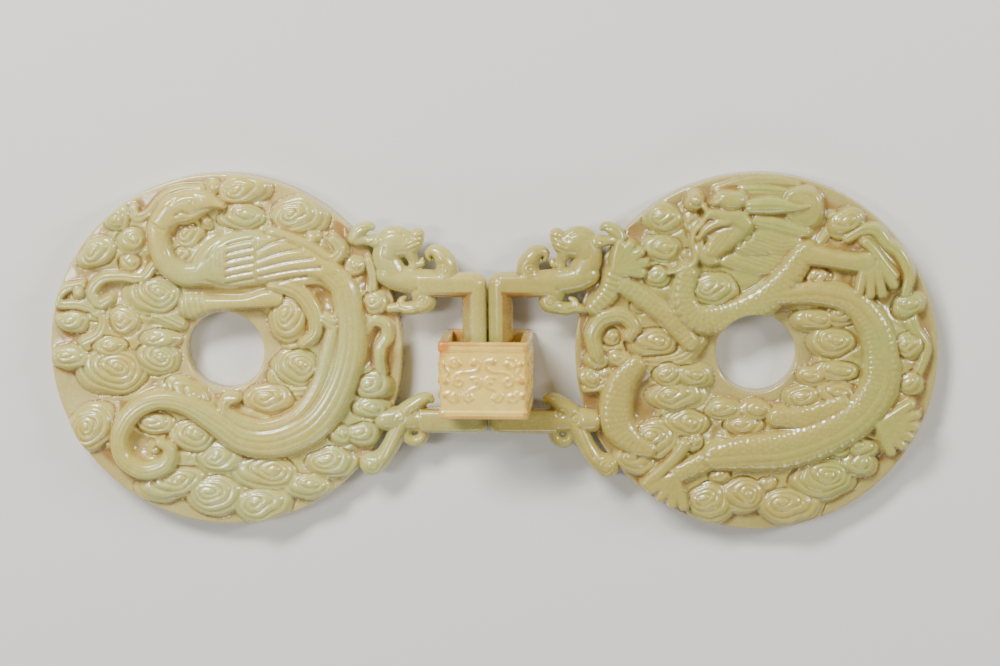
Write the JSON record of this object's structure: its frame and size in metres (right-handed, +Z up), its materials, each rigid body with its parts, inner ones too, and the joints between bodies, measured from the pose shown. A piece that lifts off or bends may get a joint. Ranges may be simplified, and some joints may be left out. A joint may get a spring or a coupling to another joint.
{
  "type": "linked pair of jade bi discs",
  "caption": "Two jade bi discs with raised phoenix and dragon among clouds, hinged side by side by round posts that pass through a loose square sleeve.",
  "frame": {"origin": "on the flat underside, midway between the two posts and on the line through both disc centres", "axes": "+X along the length towards the dragon disc, +Y towards the tops of the figures, +Z up out of the carved faces"},
  "size_m": [0.2486, 0.1, 0.0238],
  "materials": {
    "phoenix_jade": "polished",
    "dragon_jade": "polished",
    "sleeve_jade": "polished"
  },
  "bodies": {
    "sleeve": {"sleeve": "sleeve_jade"},
    "phoenix": {"phoenix_disc": "phoenix_jade"},
    "dragon": {"dragon_disc": "dragon_jade"}
  },
  "joints": [
    {"name": "phoenix_fold", "type": "hinge", "parent": "sleeve", "child": "phoenix", "pos_m": [-0.00365, 0, 0.0062], "axis": [0, 1, 0], "range_deg": [-80, 15]},
    {"name": "dragon_fold", "type": "hinge", "parent": "sleeve", "child": "dragon", "pos_m": [0.00365, 0, 0.0062], "axis": [0, -1, 0], "range_deg": [-80, 15]}
  ]
}
